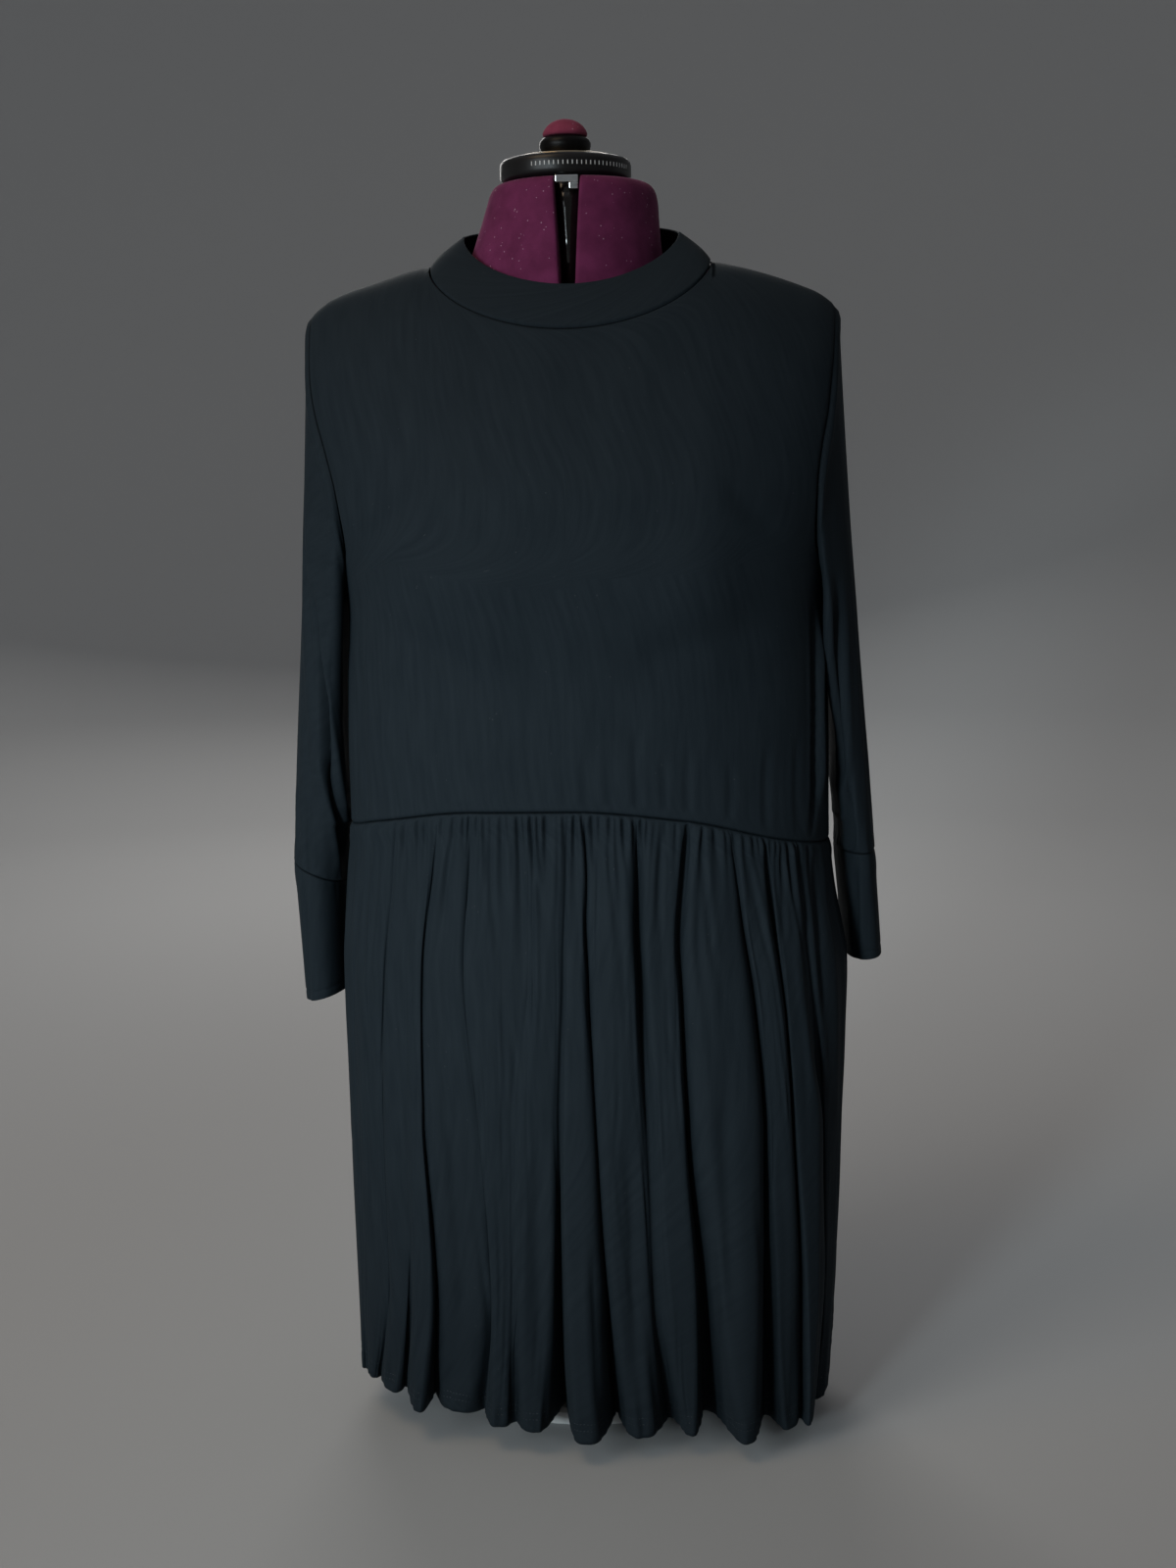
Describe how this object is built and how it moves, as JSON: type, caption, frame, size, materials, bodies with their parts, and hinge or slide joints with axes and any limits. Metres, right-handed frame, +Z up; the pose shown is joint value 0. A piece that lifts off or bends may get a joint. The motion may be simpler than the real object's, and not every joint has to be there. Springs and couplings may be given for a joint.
{
  "type": "turtleneck dress on a dress form",
  "caption": "Jersey turtleneck dress with three-quarter sleeves and a gathered skirt, worn on a limbless adjustable dress form on a short stand.",
  "frame": {"origin": "centre of the stand base's underside, on the axis of the stand's pole", "axes": "+Z up; the dress front faces -Y and the wearer's left hand is at +X"},
  "size_m": [0.5133, 0.3089, 1.1022],
  "materials": {
    "jersey": "matte fine knit",
    "wine_knit": "matte knit cover",
    "black_plastic": "gloss",
    "bright_metal": "polished",
    "brass": "satin",
    "stand_enamel": "satin enamel"
  },
  "bodies": {
    "root": {"bodice_front": "jersey", "bodice_back": "jersey", "collar_band": "jersey", "sleeve_right": "jersey", "sleeve_left": "jersey", "cuff_right": "jersey", "cuff_left": "jersey", "skirt_front": "jersey", "skirt_back": "jersey", "form_torso": "wine_knit", "neck_right": "wine_knit", "neck_left": "wine_knit", "pincushion": "wine_knit", "neck_column": "black_plastic", "neck_dial": "black_plastic", "cushion_cup": "black_plastic", "neck_latch": "bright_metal", "dial_plate": "brass", "stand_pole": "stand_enamel", "stand_base": "stand_enamel"}
  },
  "joints": []
}
